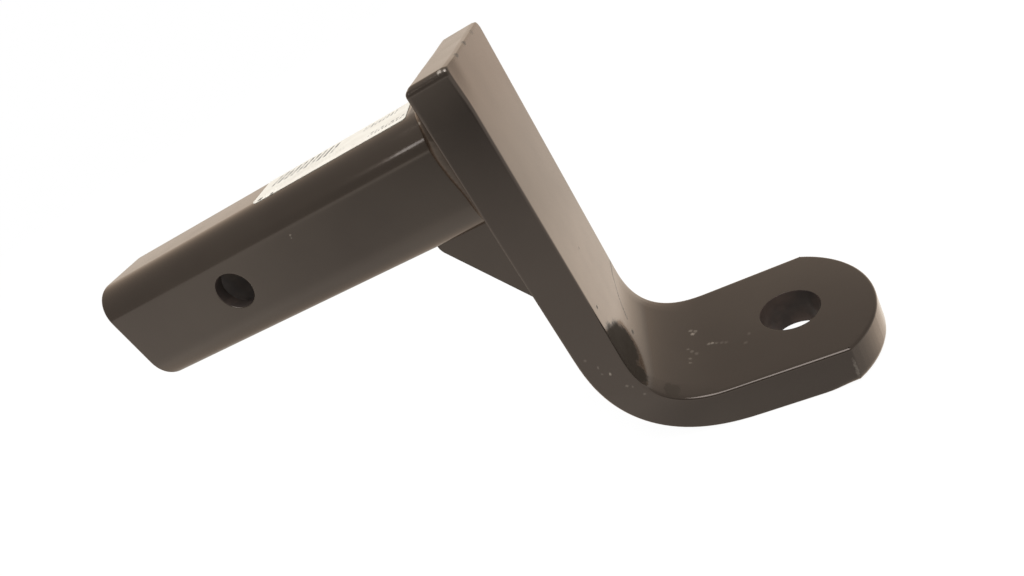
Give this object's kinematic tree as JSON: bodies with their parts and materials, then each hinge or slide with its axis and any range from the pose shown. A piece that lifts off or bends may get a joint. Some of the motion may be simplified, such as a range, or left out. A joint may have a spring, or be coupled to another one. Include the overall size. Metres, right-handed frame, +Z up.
{
  "type": "ball mount",
  "caption": "Drop ball mount for towing: a hollow square shank with a hitch-pin hole, welded to a thick bar bent forward into a rounded platform with a ball-stud hole.",
  "frame": {"origin": "centre of the hitch-pin hole, on the axis of the shank", "axes": "+X along the shank from the hitch pin towards the tow ball, +Y across along the hitch pin, +Z up, as the mount sits in a receiver"},
  "size_m": [0.2952, 0.073, 0.1825],
  "materials": {
    "black_paint": "semi-gloss black paint over welded steel",
    "label_film": "white adhesive film with faint grey rules"
  },
  "bodies": {
    "root": {"shank": "black_paint", "drop_bar": "black_paint", "gusset": "black_paint", "shank_weld": "black_paint", "gusset_weld": "black_paint", "label": "label_film"}
  },
  "joints": []
}
